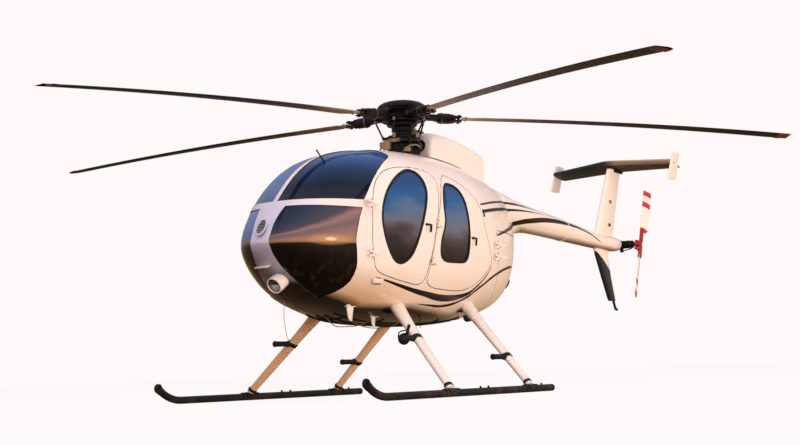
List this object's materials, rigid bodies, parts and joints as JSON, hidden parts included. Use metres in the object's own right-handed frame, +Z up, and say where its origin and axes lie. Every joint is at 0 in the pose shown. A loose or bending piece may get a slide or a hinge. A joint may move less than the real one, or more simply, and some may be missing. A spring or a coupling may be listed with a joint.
{
  "type": "light turbine helicopter",
  "caption": "Light egg-shaped turbine helicopter on skids, with opening cabin and engine doors, a turning main rotor and a side-mounted tail rotor on a slim boom.",
  "frame": {"origin": "on the ground in the middle of the whole machine, rotor included", "axes": "nose towards -Y, tail towards +Y, the pilot's left side towards +X, +Z up"},
  "size_m": [7.6219, 8.8831, 2.8835],
  "materials": {
    "cream": "gloss paint, warm cream",
    "black": "satin black",
    "glass": "tinted glazing",
    "metal": "dull metal",
    "leather": "dark leather",
    "tail_rotor": "gloss paint, warning red",
    "lamp": "polished reflector"
  },
  "bodies": {
    "airframe": {"fuselage_shell": "cream", "mast_fairing": "cream", "tail_boom": "cream", "fin_upper": "cream", "fin_lower": "cream", "stabilizer": "cream", "windscreen_left": "glass", "windscreen_right": "glass", "chin_window_left": "glass", "chin_window_right": "glass", "engine_block": "metal", "exhaust_pipe": "metal", "front_seat_left": "leather", "front_seat_right": "leather", "rear_bench": "leather", "instrument_panel": "black", "landing_light": "lamp", "mast_support": "metal", "swashplate_fixed": "metal", "tail_gearbox": "black", "skid_left": "black", "skid_right": "black", "strut_front_left": "cream", "strut_front_right": "cream", "strut_rear_left": "cream", "strut_rear_right": "cream"},
    "main_rotor": {"rotor_head": "black", "hub_cap": "black", "swashplate_rotating": "black", "main_blade_1": "black", "main_blade_2": "black", "main_blade_3": "black", "main_blade_4": "black", "main_blade_5": "black"},
    "tail_rotor": {"tail_rotor": "tail_rotor"},
    "front_door_left": {"front_door_left": "cream", "front_door_window_left": "glass"},
    "rear_door_left": {"rear_door_left": "cream", "rear_door_window_left": "glass"},
    "engine_door_left": {"engine_door_left": "cream"},
    "front_door_right": {"front_door_right": "cream", "front_door_window_right": "glass"},
    "rear_door_right": {"rear_door_right": "cream", "rear_door_window_right": "glass"},
    "engine_door_right": {"engine_door_right": "cream"}
  },
  "joints": [
    {"name": "main_rotor_spin", "type": "hinge", "parent": "airframe", "child": "main_rotor", "pos_m": [0.1643, -0.4047, 2.728], "axis": [0, 0, 1], "continuous": true},
    {"name": "tail_rotor_spin", "type": "hinge", "parent": "airframe", "child": "tail_rotor", "pos_m": [0.4543, 4.1853, 1.7], "axis": [1, 0, 0], "continuous": true},
    {"name": "front_door_left_hinge", "type": "hinge", "parent": "airframe", "child": "front_door_left", "pos_m": [0.7963, -1.7827, 1.45], "axis": [0, 0, 1], "range_deg": [-72, 0]},
    {"name": "front_door_right_hinge", "type": "hinge", "parent": "airframe", "child": "front_door_right", "pos_m": [-0.4677, -1.7827, 1.45], "axis": [0, 0, 1], "range_deg": [0, 72]},
    {"name": "rear_door_left_hinge", "type": "hinge", "parent": "airframe", "child": "rear_door_left", "pos_m": [0.8703, -0.8617, 1.57], "axis": [0, 0.3, 0.9539], "range_deg": [-70, 0]},
    {"name": "rear_door_right_hinge", "type": "hinge", "parent": "airframe", "child": "rear_door_right", "pos_m": [-0.5417, -0.8617, 1.57], "axis": [0, 0.3, 0.9539], "range_deg": [0, 70]},
    {"name": "engine_door_left_hinge", "type": "hinge", "parent": "airframe", "child": "engine_door_left", "pos_m": [0.8123, 0.2603, 1.25], "axis": [0, 0, 1], "range_deg": [-62, 0]},
    {"name": "engine_door_right_hinge", "type": "hinge", "parent": "airframe", "child": "engine_door_right", "pos_m": [-0.4837, 0.2603, 1.25], "axis": [0, 0, 1], "range_deg": [0, 62]}
  ]
}
